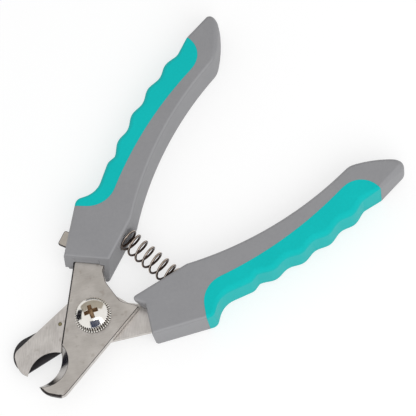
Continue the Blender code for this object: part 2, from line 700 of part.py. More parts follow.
screw = placed("pivot_screw", screw_mesh(), CHROME, upper_half)
for quarter in (0, 1):
    cut(screw, cross_slot(CROSS_TURN + quarter * math.pi / 2))


def washer(name, radius, bore, low, high, centre, finish, parent):
    placed(name, plate([circle(radius, centre), circle(bore, centre)], low, high), finish, parent)


AXIS = (0.0, 0.0)
washer("head_washer", HEAD_WASHER_R, HOLE_R, HEAD_WASHER_LOW, HEAD_WASHER_LOW + HEAD_WASHER_T, AXIS,
       PLATED, upper_half)
washer("nut_washer", NUT_WASHER_R, HOLE_R, NUT_WASHER_HIGH - NUT_WASHER_T, NUT_WASHER_HIGH, AXIS,
       PLATED, upper_half)
hexagon = circle(NUT_FLATS / 2 / math.cos(math.pi / 6), steps=6)
placed("pivot_nut", plate([hexagon, circle(HOLE_R)], NUT_LOW, NUT_HIGH), PLATED, upper_half)


# Guard and its pin

placed("guard_plate", plate([guard_outline(), circle(HOLE_R), guard_slot()], GUARD_LOW, GUARD_HIGH),
       GUARD_BLACK, guard_axis)
shank = circle(GUARD_PIN_R, GUARD_PIN_AT, SMALL_STEPS)
head = circle(GUARD_PIN_HEAD_R, GUARD_PIN_AT, SMALL_STEPS)
PIN_HEAD_HIGH = GUARD_LOW - SEAT_GAP
pin_rings = [(head, PIN_HEAD_HIGH - GUARD_PIN_HEAD_T), (head, PIN_HEAD_HIGH),
             (shank, PIN_HEAD_HIGH), (shank, -BLADE_LOW)]
placed("guard_pin", layered([at_height(points, z) for points, z in pin_rings]), PIN_STEEL, lower_half)


# Lock lever on its pin

lever = plate([lever_outline(), circle(LOCK_HOLE_R, steps=SMALL_STEPS)], LEVER_LOW, LEVER_HIGH)
placed("lock_lever", lever, LEVER_STEEL, lock_axis)
placed("lock_rivet", plate([circle(LOCK_PIN_R, steps=SMALL_STEPS)], PIN_LOW, PIN_HIGH), PLATED, lock_axis)
washer("lock_washer", LOCK_WASHER_R, LOCK_HOLE_R, LOCK_WASHER_HIGH - LOCK_WASHER_T, LOCK_WASHER_HIGH,
       AXIS, PLATED, lock_axis)


# Return spring: one wire, close at both ends and open between

def spring_points():
    """Points along the wire, from the lower handle's seat to the upper one's."""
    reach = spring_floor() - SEAT_GAP - WIRE_D / 2
    closed = SPRING_CLOSED * SPRING_CLOSED_PITCH
    open_pitch = (2 * reach - 2 * closed) / SPRING_ACTIVE
    coils = SPRING_ACTIVE + 2 * SPRING_CLOSED
    radius = (SPRING_OD - WIRE_D) / 2
    count = round(coils * CURL_POINTS)
    points = []
    for i in range(count + 1):
        coil = coils * i / count
        low = min(coil, SPRING_CLOSED)
        high = max(coil - SPRING_CLOSED - SPRING_ACTIVE, 0.0)
        climb = (low + high) * SPRING_CLOSED_PITCH + (coil - low - high) * open_pitch
        angle = 2 * math.pi * coil + SPRING_TURN
        points.append((SPRING_AT + radius * math.sin(angle), climb - reach, radius * math.cos(angle)))
    for end, beside in ((0, 1), (-1, -2)):
        step = [a - b for a, b in zip(points[end], points[beside])]
        size = math.hypot(*step)
        tail = tuple(a + WIRE_D * s / size for a, s in zip(points[end], step))
        points.insert(0, tail) if end == 0 else points.append(tail)
    return points


def least_gap(points, diameter):
    """The smallest clear distance between stretches of the wire half a coil or more apart."""
    apart = CURL_POINTS // 2
    distances = []
    for i, a in enumerate(points):
        distances += [math.dist(a, b) for b in points[i + apart:]]
    return min(distances) - diameter


wire = bpy.data.curves.new("spring", "CURVE")
wire.dimensions = "3D"
wire.bevel_depth = WIRE_D / 2
wire.bevel_resolution = 1
wire.use_fill_caps = True
route = spring_points()
run = wire.splines.new("POLY")
run.points.add(len(route) - 1)
for knot, place in zip(run.points, route):
    knot.co = (*place, 1.0)
wire.materials.append(SPRING_STEEL)
spring = bpy.data.objects.new("spring", wire)
bpy.context.collection.objects.link(spring)
spring.parent = upper_half

# Flat faces stay flat next to their rounded edges
for piece in bpy.data.objects:
    if piece.type == "MESH" and not piece.hide_render:
        piece.modifiers.new("normals", "WEIGHTED_NORMAL").keep_sharp = True

print(f"spring: least gap to itself {least_gap(route, WIRE_D) * 1000:.2f} mm")
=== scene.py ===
import math

import bpy
from mathutils import Matrix, Vector


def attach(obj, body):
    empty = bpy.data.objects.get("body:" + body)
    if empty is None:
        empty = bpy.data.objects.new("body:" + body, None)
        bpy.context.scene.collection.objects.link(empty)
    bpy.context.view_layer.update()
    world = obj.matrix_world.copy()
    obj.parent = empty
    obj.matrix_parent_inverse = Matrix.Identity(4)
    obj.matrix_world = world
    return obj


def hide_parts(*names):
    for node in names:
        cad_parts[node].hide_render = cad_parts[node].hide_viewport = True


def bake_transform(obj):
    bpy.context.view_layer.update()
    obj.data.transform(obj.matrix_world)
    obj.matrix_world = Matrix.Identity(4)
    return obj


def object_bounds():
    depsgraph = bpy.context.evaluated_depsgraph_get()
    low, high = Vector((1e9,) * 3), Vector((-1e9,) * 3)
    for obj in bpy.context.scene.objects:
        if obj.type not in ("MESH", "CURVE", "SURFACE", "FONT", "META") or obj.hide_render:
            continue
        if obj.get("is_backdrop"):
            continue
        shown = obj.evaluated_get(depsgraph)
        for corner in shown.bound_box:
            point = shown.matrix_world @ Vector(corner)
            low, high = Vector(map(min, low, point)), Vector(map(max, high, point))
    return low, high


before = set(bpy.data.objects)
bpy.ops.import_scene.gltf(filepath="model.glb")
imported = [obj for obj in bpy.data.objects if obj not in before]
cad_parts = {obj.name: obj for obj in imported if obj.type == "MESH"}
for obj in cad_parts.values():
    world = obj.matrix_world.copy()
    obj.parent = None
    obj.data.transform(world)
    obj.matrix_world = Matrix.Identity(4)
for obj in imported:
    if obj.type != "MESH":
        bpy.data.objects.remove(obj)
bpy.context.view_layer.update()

# Blades: two stampings of 2.5 mm stainless strip, alike and turned over on each other.
# Each has a hooked jaw with a ground bevel, a heel behind the pivot, and a tang that
# the handle is moulded round. The upper handle's blade is satin, the lower one's brushed.

MIDDLE = 0.007  # height of the plane between the blades, which is the middle of the handles
BLADE_LOW = 0.00015
BLADE_HIGH = 0.00265
EDGE_LAND = 0.0003
BLADE_CHAMFER = 0.00018
SHADE_LINE_CHAMFER = 0.0007  # broader along the front edge and round the jaw's end; its faces get painted shade as a dark line
MOUTH_ROOT = (-0.0177, 0.0)
JAW_TIP = (-0.0325, -0.0031)
JAW_BEND = (-0.0320, -0.0094)
JAW_SWELL = 0.0007
JAW_END = (-0.02975, -0.0133, 0.0034)
MOUTH_DEPTH = 0.0034
MOUTH_STEPS = 48
BEVEL_ROOT = 0.0023
BEVEL_TIP = 0.0010
BEVEL_DEPTH = 0.0062
HEEL = (0.0138, -0.0105, 0.0004)
HEEL_BEND = (0.0105, -0.0040, 0.0045)
NECK = (0.0124, 0.0055, 0.0008)
SHOULDER = (0.0105, 0.02044)
TANG_START = (0.013, 0.0135)
TANG_ANGLE = math.radians(25)
TANG_LENGTH = 0.031
TANG_HALF = 0.0045
TANG_END_HALF = 0.0035
TANG_SHOULDER = 0.002
TANG_CORNER_R = 0.0008
TANG_END_R = 0.0017
PIVOT_HOLE_R = 0.0028
PIN_HOLE = (-0.010174, -0.008093)  # for the guard's pin, in the rear blade alone
PIN_HOLE_R = 0.00075
THROUGH = 0.02  # half the height of a tool that cuts right through


def arc(centre, radius, start, end, steps):
    angles = [start + (end - start) * i / steps for i in range(steps + 1)]
    return [(centre[0] + radius * math.cos(a), centre[1] + radius * math.sin(a)) for a in angles]


def circle(radius, centre=(0.0, 0.0), steps=48):
    return arc(centre, radius, 0.0, 2 * math.pi, steps)[:-1]


def bowed(start, end, rise, steps):
    """A round stretch from start to end that rises to the left of the straight line."""
    chord = math.dist(start, end)
    radius = (chord * chord / 4 + rise * rise) / (2 * abs(rise))
    side = math.copysign(1.0, rise)
    left = ((start[1] - end[1]) / chord, (end[0] - start[0]) / chord)
    back = rise - side * radius
    centre = ((start[0] + end[0]) / 2 + left[0] * back, (start[1] + end[1]) / 2 + left[1] * back)
    first = math.atan2(start[1] - centre[1], start[0] - centre[0])
    sweep = 2 * math.asin(min(1.0, chord / (2 * radius)))
    return arc(centre, radius, first, first - side * sweep, steps)


def rounded(corners):
    """A closed outline through corners given as (x, y) or (x, y, radius)."""
    points = []
    for i, corner in enumerate(corners):
        here, before, after = corner[:2], corners[i - 1][:2], corners[(i + 1) % len(corners)][:2]
        into = math.atan2(here[1] - before[1], here[0] - before[0])
        out = math.atan2(after[1] - here[1], after[0] - here[0])
        bend = (out - into + math.pi) % (2 * math.pi) - math.pi
        if len(corner) < 3 or abs(bend) < math.radians(2):
            points.append(here)
            continue
        radius = corner[2]
        tangent = radius * math.tan(abs(bend) / 2)
        side = math.copysign(math.pi / 2, bend)
        begin = (here[0] - tangent * math.cos(into), here[1] - tangent * math.sin(into))
        centre = (begin[0] + radius * math.cos(into + side), begin[1] + radius * math.sin(into + side))
        steps = max(2, round(abs(bend) / math.radians(8)))
        points += arc(centre, radius, into - side, into - side + bend, steps)
    return points


def grown(points, distances):
    """The outline moved outwards, by one distance or by one for each point."""
    if not isinstance(distances, list):
        distances = [distances] * len(points)
    moved = []
    for i, ((x, y), distance) in enumerate(zip(points, distances)):
        (ax, ay), (bx, by) = points[i - 1], points[(i + 1) % len(points)]
        a, b = math.dist((ax, ay), (x, y)), math.dist((x, y), (bx, by))
        normal = ((y - ay) / a + (by - y) / b, (ax - x) / a + (x - bx) / b)
        size = normal[0] ** 2 + normal[1] ** 2
        moved.append((x + 2 * distance * normal[0] / size, y + 2 * distance * normal[1] / size))
    return moved


def raised(points, z):
    return [(x, y, z) for x, y in points]


def along_tang(distance, side):
    cos, sin = math.cos(TANG_ANGLE), math.sin(TANG_ANGLE)
    return (TANG_START[0] + distance * cos + side * sin, TANG_START[1] + distance * sin - side * cos)


def pulled_up(name, rings):
    """A closed body: a filled circle, extruded ring by ring, with each ring's corners put in place."""
    bpy.ops.object.select_all(action="DESELECT")
    bpy.ops.mesh.primitive_circle_add(vertices=len(rings[0]), radius=1.0, fill_type="NGON")
    piece = bpy.context.object
    piece.name = piece.data.name = name
    order = {(round(v.co.x, 4), round(v.co.y, 4)): v.index for v in piece.data.vertices}
    bpy.ops.object.mode_set(mode="EDIT")
    bpy.ops.mesh.select_all(action="SELECT")
    for _ in rings[1:]:
        bpy.ops.mesh.extrude_region_move(TRANSFORM_OT_translate={"value": (0.0, 0.0, 1.0)})
    bpy.ops.object.mode_set(mode="OBJECT")
    for v in piece.data.vertices:
        v.co = rings[round(v.co.z)][order[(round(v.co.x, 4), round(v.co.y, 4))]]
    outwards(piece)
    return piece


def outwards(piece):
    bpy.context.view_layer.objects.active = piece
    bpy.ops.object.mode_set(mode="EDIT")
    bpy.ops.mesh.select_all(action="SELECT")
    bpy.ops.mesh.remove_doubles(threshold=1e-7)
    bpy.ops.mesh.normals_make_consistent(inside=False)
    bpy.ops.object.mode_set(mode="OBJECT")


def applied(piece, kind, **settings):
    """One modifier, set and applied."""
    modifier = piece.modifiers.new(kind.lower(), kind)
    for name, value in settings.items():
        setattr(modifier, name, value)
    bpy.context.view_layer.objects.active = piece
    bpy.ops.object.modifier_apply(modifier=modifier.name)


def fitted(piece, tool, operation="DIFFERENCE"):
    """Cuts the piece with a tool, or keeps what lies in it, and takes the tool away."""
    applied(piece, "BOOLEAN", operation=operation, solver="EXACT", object=tool)
    bpy.data.objects.remove(tool)


def smoothed(piece, angle=32):
    """Smooth faces up to this angle, with flat faces kept flat beside rounded edges."""
    bpy.ops.object.select_all(action="DESELECT")
    piece.select_set(True)
    bpy.context.view_layer.objects.active = piece
    bpy.ops.object.shade_smooth_by_angle(angle=math.radians(angle))
    applied(piece, "WEIGHTED_NORMAL", keep_sharp=True)


def settled(piece, body, node, finishes, choose=None, turned_over=False):
    """Puts a piece drawn about the middle plane in its place, with its finishes, on its body."""
    if turned_over:
        piece.data.transform(Matrix.Rotation(math.pi, 4, "X"))
    piece.data.transform(Matrix.Translation((0.0, 0.0, MIDDLE)))
    piece.data.materials.clear()
    for finish in finishes:
        piece.data.materials.append(finish)
    for face in piece.data.polygons:
        face.material_index = choose(face, -1.0 if turned_over else 1.0) if choose else 0
    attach(piece, body)
    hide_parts(node)
    return piece


class Socket:
    """One output of a shader node. Sums on it add Math nodes."""

    def __init__(self, output):
        self.output = output

    def node(self, kind, settings, inputs, output=0):
        """Another node of the same material: its settings first, then its sockets' values or links."""
        tree = self.output.id_data
        made = tree.nodes.new("ShaderNode" + kind)
        for name, value in settings.items():
            if name == "stops":
                for stop in value[2:]:
                    made.color_ramp.elements.new(stop[0])
                for element, stop in zip(made.color_ramp.elements, value):
                    element.position, element.color = stop[0], (*stop[1], 1.0)
            else:
                setattr(made, name, value)
        for name, value in inputs.items():
            if isinstance(value, Socket):
                tree.links.new(value.output, made.inputs[name])
            else:
                made.inputs[name].default_value = value
        return Socket(made.outputs[output])

    def sum(self, operation, first, second):
        return self.node("Math", {"operation": operation}, {0: first, 1: second})

    def __add__(self, other):
        return self.sum("ADD", self, other)

    def __radd__(self, other):
        return self.sum("ADD", other, self)

    def __sub__(self, other):
        return self.sum("SUBTRACT", self, other)

    def __rsub__(self, other):
        return self.sum("SUBTRACT", other, self)

    def __mul__(self, other):
        return self.sum("MULTIPLY", self, other)

    def __rmul__(self, other):
        return self.sum("MULTIPLY", other, self)

    def above(self, edge, width):
        """0 below the edge, 1 above it, and soft between."""
        limits = {"Value": self, "From Min": edge - width, "From Max": edge + width}
        return self.node("MapRange", {"interpolation_type": "SMOOTHSTEP"}, limits)

    def noise(self, scale, detail=3.0, stretch=(1.0, 1.0, 1.0), turn=0.0):
        place = self.node("Mapping", {}, {"Vector": self, "Rotation": (0.0, 0.0, turn)})
        place = self.node("Mapping", {}, {"Vector": place, "Scale": stretch})
        return self.node("TexNoise", {}, {"Vector": place, "Scale": scale, "Detail": detail})

    def between(self, low, high):
        """A colour between two, by this value."""
        colours = {0: self, 6: (*low, 1.0), 7: (*high, 1.0)}
        return self.node("Mix", {"data_type": "RGBA"}, colours, 2)

    def over(self, colour, other):
        """One colour turning into another, which may itself be a link, by this value."""
        other = other if isinstance(other, Socket) else (*other, 1.0)
        return self.node("Mix", {"data_type": "RGBA"}, {0: self, 6: colour, 7: other}, 2)

    def bump(self, depth, strength=1.0):
        return self.node("Bump", {}, {"Height": self, "Distance": depth, "Strength": strength}, "Normal")


def finish(name, constants):
    """A new material with its shader's constants set, and the places of its surface points."""
    made = bpy.data.materials.new(name)
    made.use_nodes = True
    shader = made.node_tree.nodes["Principled BSDF"]
    for socket, value in constants.items():
        shader.inputs[socket].default_value = value
    place = made.node_tree.nodes.new("ShaderNodeTexCoord").outputs["Object"]
    return made, shader, Socket(place)


def fed(shader, **links):
    for socket, value in links.items():
        shader.id_data.links.new(value.output, shader.inputs[socket.replace("_", " ")])


def blade_steel(name, dark, light, turn, streaks, roughness):
    """Stainless sheet: drawn streaks one way, a faint cloudiness, and a few stains and rubbed spots."""
    made, shader, place = finish(name, {"Metallic": 1.0})
    streak = place.noise(260.0, 4.0, (1.0, 14.0, 1.0), turn)
    fine = place.noise(900.0, 2.0, (1.0, 22.0, 1.0), turn)
    cloud = place.noise(150.0, 4.0)
    spots = place.noise(420.0, 2.0).above(0.66, 0.05)
    tone = streaks * (streak - 0.5) + 0.5 * streaks * (fine - 0.5) + 1.5 * (cloud - 0.5) + 0.5
    colour = (spots * 0.24).over(tone.between(dark, light), (0.20, 0.16, 0.12))
    rough = roughness + 0.16 * (cloud - 0.5) + 0.10 * (streak - 0.5)
    fed(shader, Base_Color=colour, Roughness=rough, Normal=(streak + 0.6 * fine).bump(0.000006))
    return made


front_steel = blade_steel("front_blade_satin", (0.36, 0.333, 0.308), (0.57, 0.54, 0.51), 0.62, 0.5, 0.36)
rear_steel = blade_steel("rear_blade_brushed", (0.40, 0.375, 0.355), (0.64, 0.61, 0.585), -0.70, 1.3, 0.33)

ground_steel, shader, place = finish("ground_bevel", {"Metallic": 1.0})
grind = place.noise(700.0, 3.0, (1.0, 1.0, 9.0))
burnt = place.noise(240.0, 2.0)
fed(shader, Base_Color=(0.6 * grind + 0.4 * burnt).between((0.34, 0.32, 0.31), (0.62, 0.60, 0.58)),
    Roughness=0.10 + 0.16 * grind, Normal=grind.bump(0.000004))

sheared_steel, shader, place = finish("sheared_edge", {"Metallic": 1.0})
tear = place.noise(600.0, 3.0, (1.0, 1.0, 0.15))
fed(shader, Base_Color=tear.between((0.40, 0.37, 0.34), (0.78, 0.75, 0.72)), Roughness=0.24 + 0.25 * tear,
    Normal=tear.bump(0.00002))

# Painted shade: a near-black steel laid on chamfers, the jaw's end, the rim's grooves and the lever's edges,
# as dark lines and dark reflections.
painted_shade, shader, place = finish("painted_shade_edge", {"Metallic": 1.0})
scale = place.noise(800.0, 4.0)
fed(shader, Base_Color=scale.between((0.006, 0.006, 0.009), (0.075, 0.065, 0.06)),
    Roughness=0.22 + 0.3 * scale, Normal=scale.bump(0.00003))


def blade_outline(beveled):
    """The blade's plan: its cutting edge, or the upper rim of its bevel."""
    root, tip, depth = MOUTH_ROOT, JAW_TIP, MOUTH_DEPTH
    if beveled:
        slope = math.atan2(SHOULDER[1], SHOULDER[0] - MOUTH_ROOT[0])
        root = (root[0] + BEVEL_ROOT * math.cos(slope), BEVEL_ROOT * math.sin(slope))
        tip, depth = (tip[0], tip[1] - BEVEL_TIP), BEVEL_DEPTH
    tang = [
        NECK,
        along_tang(0.0, TANG_HALF) + (TANG_CORNER_R,),
        along_tang(TANG_LENGTH, TANG_END_HALF) + (TANG_END_R,),
        along_tang(TANG_LENGTH, -TANG_END_HALF) + (TANG_END_R,),
        along_tang(TANG_SHOULDER, -TANG_HALF) + (TANG_CORNER_R,),
        SHOULDER,
    ]
    end = bowed(tip, JAW_BEND, -JAW_SWELL, 12)[1:]
    return rounded(bowed(root, tip, depth, MOUTH_STEPS) + end + [JAW_END, HEEL, HEEL_BEND] + tang)


def blade_face(face, up):
    """Steel on the flats, the grinding on the bevel, the shears' marks on the edges, painted shade on the
    upper chamfer and a painted dark reflection on the jaw's end.
    """
    if abs(face.normal.z) > 0.9:
        return 0
    height = up * (face.center.z - MIDDLE)
    # The upper chamfer gets painted shade, a dark shadow line round the edge.
    if height > BLADE_HIGH - SHADE_LINE_CHAMFER / 2:
        return 3
    in_mouth = face.center.x < -0.0145 and face.center.x > JAW_TIP[0] + 0.0001
    if in_mouth and 0.3 < up * face.normal.z < 0.9:
        return 1
    # The jaw's end faces get a painted dark reflection.
    return 3 if face.center.x < JAW_END[0] and face.normal.x < -0.4 else 2


def blade(name, body, steel, turned_over, holes):
    edge, rim = blade_outline(False), blade_outline(True)
    breaks = [BLADE_CHAMFER] * len(rim)
    for i, (x, y) in enumerate(rim):
        if i not in range(1, MOUTH_STEPS) and (x < JAW_END[0] or y > 0.74 * (x - MOUTH_ROOT[0]) - 0.0016):
            breaks[i] = SHADE_LINE_CHAMFER
    levels = [raised(edge, BLADE_LOW), raised(edge, BLADE_LOW + EDGE_LAND)]
    levels.append([(x, y, BLADE_HIGH - depth) for (x, y), depth in zip(rim, breaks)])
    levels.append(raised(grown(rim, [-depth for depth in breaks]), BLADE_HIGH))
    piece = pulled_up(name, levels)
    for hole in holes:
        fitted(piece, pulled_up("hole", [raised(hole, -THROUGH), raised(hole, THROUGH)]))
    smoothed(piece, 28)
    return settled(piece, body, name.replace("_plate", ""),
                   (steel, ground_steel, sheared_steel, painted_shade), blade_face, turned_over)


blade("front_blade_plate", "upper", front_steel, False, [circle(PIVOT_HOLE_R)])
blade("rear_blade_plate", "lower", rear_steel, True,
      [circle(PIVOT_HOLE_R), circle(PIN_HOLE_R, PIN_HOLE, 24)])


# Handles: two hard grey mouldings, alike and turned over, shot round the blades' tangs.
# A sloped lip closes over each tang, a nose beside it stops the other blade's heel, the palm
# side is hollow in plan and the finger side has scallops under the grip.

HANDLE_HALF = 0.007
EDGE_R = 0.0012
TIP_EDGE_R = 0.0023
TIP_EDGE_DROP = 0.0052  # the tip's edges are rounded far down its end
SOFT_EDGE_R = 0.0022  # the rubber's scalloped edge is rounder than the plastic's
SOFT_ENDS = (0.030, 0.1045)  # where that edge begins and ends along the tool
SOFT_RUN = 0.008
EDGE_STEPS = 9
NOSE = (0.01275, 0.00715, 0.00125)
KNEE = (0.0366, 0.0140)
INNER_END = (0.1040, 0.0343, 0.008)
INNER_HOLLOW = 0.0046
TIP_LOW = (0.1182, 0.0455, 0.0050)
TIP_HIGH = (0.1194, 0.0503, 0.0024)
TIP_BULGE = 0.0010
TIP_START = 0.1050
BACK_END = (0.1050, 0.0493, 0.008)
SCALLOP_FIRST = (0.0976, 0.0474)
SCALLOP_LAST = (0.0505, 0.0367)
SCALLOP_BOW = 0.0018
SCALLOP_RISE = 0.00135
SCALLOPS = 4
SCALLOP_STEPS = 20
HOLLOW_RISE = (0.0472, 0.0371, 0.004)
HOLLOW = (0.0354, 0.0318, 0.009)
BASE_BUMP = (0.0283, 0.0356, 0.003)
CHEEK = (0.0070, 0.0220)
WINDOW = (0.01456, 0.01113, 0.0010)
SLOPE_BACK = 0.0028
SLOPE_R = 0.0009  # rounding between the sloped lip and the face above it
SLOPE_AHEAD = 0.0023
STEP_BACK = 0.0018
LIP_PANEL = (-0.0004, 0.0098, 0.0056)  # sides and upper end of the lip's sunk panel
LIP_SINK = 0.0004
BEYOND = 0.03  # how far the front's tools reach past it
GRIP_T = 0.0016
GRIP_START = (0.0220, 0.0390)
GRIP_ROUND = (0.0338, 0.0240, 0.0105)
GRIP_LOW = (0.0430, 0.02785)
GRIP_HIGH = (0.0946, 0.0383)
GRIP_BOW = 0.00236
GRIP_CORNER = (0.1050, 0.0390, 0.009)
GRIP_BEYOND = 0.058  # clears the outer edge
GRIP_MARGIN = 0.003
GRIP_SEAM = 0.00004
TANG_SEAM = 0.00008
FIT = 0.0003
SPRING_AT = 0.0305
SPRING_SEAT_R = 0.0047
SPRING_FLOOR = 0.01344
LOCK_AT = along_tang(0.0072, 0.0)
LEVER_SWEEP_R = 0.0170
LEVER_BOSS_ROOM = 0.0040
LEVER_SLOT_LOW = -0.00275


def handle_outline():
    palm = bowed(KNEE, INNER_END[:2], INNER_HOLLOW, 30)[:-1]
    tip = bowed(INNER_END[:2], TIP_LOW[:2], -TIP_BULGE, 6)[1:-1]
    spine = bowed(SCALLOP_FIRST, SCALLOP_LAST, -SCALLOP_BOW, SCALLOPS * SCALLOP_STEPS)
    run = math.dist(SCALLOP_FIRST, SCALLOP_LAST)
    out = ((SCALLOP_LAST[1] - SCALLOP_FIRST[1]) / run, (SCALLOP_FIRST[0] - SCALLOP_LAST[0]) / run)
    rises = [SCALLOP_RISE * (1 - math.cos(2 * math.pi * i / SCALLOP_STEPS)) / 2 for i in range(len(spine))]
    fingers = [(x + rise * out[0], y + rise * out[1]) for (x, y), rise in zip(spine, rises)]
    back = [BACK_END] + fingers + [HOLLOW_RISE, HOLLOW, BASE_BUMP]
    return rounded(palm + [INNER_END] + tip + [TIP_LOW, TIP_HIGH] + back + [CHEEK, WINDOW, NOSE])


def grip_outline(margin):
    edge = bowed(GRIP_LOW, GRIP_HIGH, GRIP_BOW, 40)
    ends = [GRIP_CORNER, (GRIP_CORNER[0], GRIP_BEYOND), (GRIP_START[0], GRIP_BEYOND)]
    return grown(rounded([GRIP_START, GRIP_ROUND] + edge + ends), margin)


def inside(point, outline):
    crossings = 0
    for (ax, ay), (bx, by) in zip(outline, outline[1:] + outline[:1]):
        if (ay > point[1]) != (by > point[1]):
            crossings += point[0] < ax + (bx - ax) * (point[1] - ay) / (by - ay)
    return crossings % 2 == 1


def handle_body(name, inset):
    """The handle's full form with rounded edges, or that form set in where the grip lies."""
    outline = handle_outline()
    near_grip = grip_outline(GRIP_MARGIN)
    gripped = [inside(point, near_grip) for point in outline]
    outline = [b if under else a for a, b, under in zip(outline, grown(outline, -inset), gripped)]
    radii, depths = [], []
    for (x, _), under in zip(outline, gripped):
        tip = min(max((x - TIP_START) / (TIP_HIGH[0] - TIP_START), 0.0), 1.0)
        soft = min(max(min(x - SOFT_ENDS[0], SOFT_ENDS[1] - x) / SOFT_RUN, 0.0), 1.0)
        edge_r = EDGE_R + (SOFT_EDGE_R - EDGE_R) * soft if under and inset == 0.0 else EDGE_R
        radii.append(edge_r + (TIP_EDGE_R - edge_r) * tip)
        depths.append(edge_r + (TIP_EDGE_DROP - edge_r) * tip)
    rings = []
    for i in range(EDGE_STEPS + 1):
        angle = math.pi / 2 * i / EDGE_STEPS
        ring = grown(outline, [radius * (math.sin(angle) - 1) for radius in radii])
        drops = [inset + depth * (1 - math.cos(angle)) for depth in depths]
        rings.append([(x, y, HANDLE_HALF - drop) for (x, y), drop in zip(ring, drops)])
    return pulled_up(name, [[(x, y, -z) for x, y, z in ring] for ring in rings] + rings[::-1])


def prism(outline, low, high):
    return pulled_up("tool", [raised(outline, low), raised(outline, high)])


def front_point(side, behind):
    """A point beside the window's end, along the front line, and behind that line."""
    run = math.dist(WINDOW[:2], CHEEK[:2])
    along = ((CHEEK[0] - WINDOW[0]) / run, (CHEEK[1] - WINDOW[1]) / run)
    return (WINDOW[0] + along[0] * side + along[1] * behind, WINDOW[1] + along[1] * side - along[0] * behind)


def front_slope():
    """What the sloping front and its rounded upper edge leave off, from the nose to the cheek."""
    lean, middle = (SLOPE_BACK + SLOPE_AHEAD) / 2, (SLOPE_BACK - SLOPE_AHEAD) / 2
    tilt = math.atan2(HANDLE_HALF, lean)
    crown = SLOPE_BACK + SLOPE_R * math.tan(tilt / 2)
    edge = arc((crown, HANDLE_HALF - SLOPE_R), SLOPE_R, math.pi / 2 + tilt, math.pi / 2, 8)
    profile = [(middle - 2 * lean, -2 * HANDLE_HALF)] + edge
    profile += [(crown, 2 * HANDLE_HALF), (-BEYOND, 2 * HANDLE_HALF), (-BEYOND, -2 * HANDLE_HALF)]
    sides = (-BEYOND, BEYOND)
    return pulled_up("tool", [[(*front_point(side, behind), z) for behind, z in profile] for side in sides])


def lip_panel():
    """What the sunk panel over the tang leaves off the slope, with slanting walls."""
    rings = []
    for sunk in (LIP_SINK, -LIP_SINK):
        near, far, high = LIP_PANEL[0] + sunk, LIP_PANEL[1] - sunk, LIP_PANEL[2] - sunk
        places = [(near, BLADE_LOW), (far, BLADE_LOW), (far, high), (near, high)]
        ring = []
        for side, z in places:
            lean = (SLOPE_BACK - SLOPE_AHEAD + (SLOPE_BACK + SLOPE_AHEAD) * z / HANDLE_HALF) / 2
            ring.append((*front_point(side, lean + sunk), z))
        rings.append(ring)
    return pulled_up("tool", rings)


def front_step(high):
    """What the front wall, rounded at its foot, leaves off up to this height."""
    nose_wall = math.atan2(WINDOW[1] - NOSE[1], WINDOW[0] - NOSE[0])
    front_line = math.atan2(CHEEK[1] - WINDOW[1], CHEEK[0] - WINDOW[0])
    levels = [(EDGE_R, -2 * HANDLE_HALF)]
    for k in range(EDGE_STEPS + 1):
        angle = math.pi / 2 * k / EDGE_STEPS
        levels.append((EDGE_R * (1 - math.sin(angle)), EDGE_R * (1 - math.cos(angle)) - HANDLE_HALF))
    rings = []
    for more, z in levels + [(0.0, high)]:
        behind = STEP_BACK + more
        beside = behind / math.tan(front_line - nose_wall) - more
        places = [(beside, behind), (BEYOND, behind), (BEYOND, -BEYOND), (-more, -BEYOND), (-more, 0.0)]
        rings.append(raised([front_point(*place) for place in places], z))
    return pulled_up("tool", rings)


def spring_seat():
    bpy.ops.object.select_all(action="DESELECT")
    bpy.ops.mesh.primitive_cylinder_add(vertices=48, radius=SPRING_SEAT_R, depth=SPRING_FLOOR,
                                        location=(SPRING_AT, SPRING_FLOOR / 2, 0.0),
                                        rotation=(math.pi / 2, 0.0, 0.0))
    bpy.ops.object.transform_apply(location=True, rotation=True, scale=True)
    return bpy.context.object


def lever_slot():
    """Room for the lock lever's sweep under the tang, open at the front and the outer side."""
    sweep = arc(LOCK_AT, LEVER_SWEEP_R, math.radians(94), math.radians(214), 24)
    back = arc(LOCK_AT, LEVER_BOSS_ROOM, math.radians(289), math.radians(377), 8)
    return prism(sweep + back, LEVER_SLOT_LOW, BLADE_LOW)


def tang_room():
    half, end = TANG_HALF, TANG_END_HALF
    tang = [NECK, along_tang(0.0, half), along_tang(TANG_LENGTH, end), along_tang(TANG_LENGTH, -end),
            along_tang(TANG_SHOULDER, -half), SHOULDER, MOUTH_ROOT]
    return prism(grown(rounded(tang), TANG_SEAM), BLADE_LOW - TANG_SEAM, BLADE_HIGH + FIT)


handle_plastic, shader, place = finish("handle_plastic", {"Specular IOR Level": 0.35})
cloud = place.noise(70.0, 4.0)
grain = place.noise(2600.0, 2.0)
spark = place.noise(900.0, 3.0)
tone = 0.6 * (cloud - 0.5) + 0.5 * (spark - 0.5) + 0.5
facing = place.node("NewGeometry", {}, {}, "Normal")
upright = facing.node("VectorMath", {"operation": "DOT_PRODUCT"}, {0: facing, 1: (0.0, 0.0, 1.0)}, "Value")
steep = upright * upright
along = place.node("SeparateXYZ", {}, {0: place}, "X")
# Painted highlight: faces on the rounded edges, between flat and upright, are made lighter, except at the
# tip.
painted_edge_highlight = steep.above(0.30, 0.22) * (1.0 - steep.above(0.86, 0.12)) * (1.0 - along.above(0.104, 0.004))
grey = tone.between((0.245, 0.245, 0.256), (0.312, 0.311, 0.321))
fed(shader, Base_Color=(0.22 * painted_edge_highlight).over(grey, (0.44, 0.44, 0.45)),
    Roughness=0.50 + 0.18 * (spark - 0.5), Normal=(grain + 0.5 * spark).bump(0.00002))


